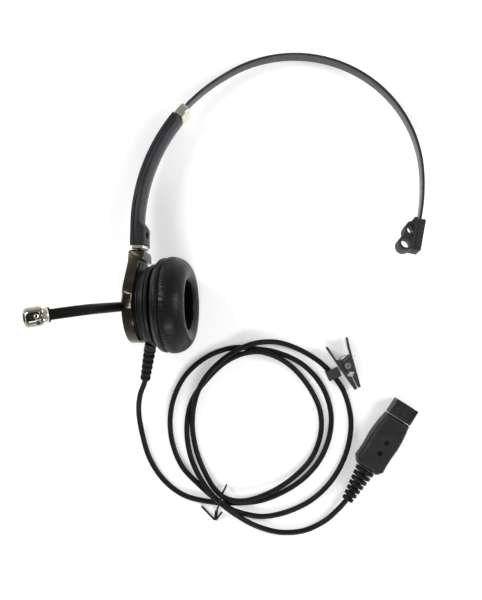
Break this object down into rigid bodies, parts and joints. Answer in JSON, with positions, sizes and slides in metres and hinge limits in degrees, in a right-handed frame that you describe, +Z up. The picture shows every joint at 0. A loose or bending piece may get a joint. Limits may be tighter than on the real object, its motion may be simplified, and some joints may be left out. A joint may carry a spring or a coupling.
{
  "type": "single-ear office headset",
  "caption": "Single-ear telephone headset with a padded ear cup, turning microphone boom, sliding spring headband, temple pad and a coiled cord with clothing clip and plug.",
  "frame": {"origin": "middle of the headset's footprint on the table, the cord and what is on it left out", "axes": "+X across the headband from the ear cup to the temple pad, +Y from the ear cup towards the top of the headband, +Z up from the table"},
  "size_m": [0.21, 0.2864, 0.1111],
  "materials": {
    "armPlastic": "satin charcoal plastic",
    "strapSteel": "dark coated spring steel",
    "chrome": "polished chrome plating",
    "rimMetal": "black chrome plating",
    "cupPlastic": "fine matt black plastic",
    "leatherette": "smooth black leatherette",
    "foam": "open-cell black foam",
    "boomRubber": "satin black rubber",
    "cordPvc": "satin PVC sheath",
    "plugPlastic": "fine-grained charcoal plastic",
    "clipPlastic": "gloss black plastic",
    "steel": "plain steel",
    "padRubber": "dark grey-green rubber",
    "magnet": "nickel plating",
    "cone": "thin plastic film",
    "circuitBoard": "green solder mask",
    "gold": "gold plating"
  },
  "bodies": {
    "ear_cup": {"swivel_pin": "steel", "swivel_washer": "steel", "rim_trim": "rimMetal", "cup_back_cover": "cupPlastic", "cup_front_frame": "cupPlastic", "speaker_housing": "cupPlastic", "cup_screw_1": "steel", "cup_screw_2": "steel", "cup_screw_3": "steel", "terminal_board": "circuitBoard", "speaker_frame": "cupPlastic", "speaker_magnet": "magnet", "speaker_voice_coil": "gold", "speaker_diaphragm": "cone", "speaker_grille": "cupPlastic", "foam_disc": "foam", "ear_cushion": "leatherette", "boom_friction_washer": "steel", "cord_gland": "cupPlastic", "cup_strain_relief": "cordPvc", "cord": "cordPvc", "twist_tie": "cordPvc", "plug_top_shell": "plugPlastic", "plug_bottom_shell": "plugPlastic", "plug_nose": "plugPlastic", "plug_contact_1": "gold", "plug_contact_2": "gold", "plug_contact_3": "gold", "plug_contact_4": "gold", "plug_strain_relief": "cordPvc"},
    "arm": {"arm_outer_shell": "armPlastic", "arm_inner_shell": "armPlastic", "arm_screw_1": "steel", "arm_screw_2": "steel", "arm_ferrule": "chrome", "swivel_ring": "chrome"},
    "headband": {"headband_strap": "strapSteel", "strap_stop": "cupPlastic"},
    "pad": {"temple_pad": "padRubber", "pad_plate": "padRubber", "pad_rivet": "steel"},
    "boom": {"boom_hub": "boomRubber", "boom_hub_cap": "cupPlastic", "boom_axle": "steel", "boom_stem": "boomRubber"},
    "mic": {"boom_gooseneck": "boomRubber", "mic_lock_ring": "boomRubber", "mic_collar": "chrome", "mic_capsule_shell": "chrome", "mic_slot_insert": "cupPlastic", "mic_slot_ring": "chrome", "mic_element": "steel", "mic_front_screen": "foam"},
    "clip": {"clip_back_lever": "clipPlastic", "clip_pin": "steel", "clip_spring": "steel", "clip_cord_holder": "clipPlastic", "clip_rivet": "steel"},
    "clip_jaw": {"clip_front_lever": "clipPlastic"}
  },
  "joints": [
    {"name": "cup_swivel", "type": "hinge", "parent": "ear_cup", "child": "arm", "pos_m": [-0.059, -0.02924, 0.01959], "axis": [0, 0.991, -0.1338], "range_deg": [-30, 30]},
    {"name": "headband_slide", "type": "hinge", "parent": "arm", "child": "headband", "pos_m": [0.0472, -0.01671, 0.01896], "axis": [0.0099, -0.1338, -0.991], "range_deg": [0, 14]},
    {"name": "pad_turn", "type": "hinge", "parent": "headband", "child": "pad", "pos_m": [0.10092, -0.01978, 0.01992], "axis": [0.9799, -0.1963, 0.0363], "range_deg": [-8, 8]},
    {"name": "boom_turn", "type": "hinge", "parent": "ear_cup", "child": "boom", "pos_m": [-0.06491, -0.06138, 0.02293], "axis": [0.9861, 0.0222, 0.1647], "range_deg": [-70, 75]},
    {"name": "boom_bend", "type": "hinge", "parent": "boom", "child": "mic", "pos_m": [-0.07428, -0.06236, 0.07671], "axis": [0.1534, -0.9881, 0.0078], "range_deg": [-25, 25]},
    {"name": "clip_turn", "type": "hinge", "parent": "ear_cup", "child": "clip", "pos_m": [0.0545, -0.1028, 0.0042], "axis": [0.6912, -0.7196, 0.0663], "range_deg": [0, 50]},
    {"name": "clip_open", "type": "hinge", "parent": "clip", "child": "clip_jaw", "pos_m": [0.0626, -0.0965, 0.0056], "axis": [0, 0, 1], "range_deg": [0, 12], "stiffness_Nm_per_rad": 0.06, "springref_deg": -14.32}
  ]
}
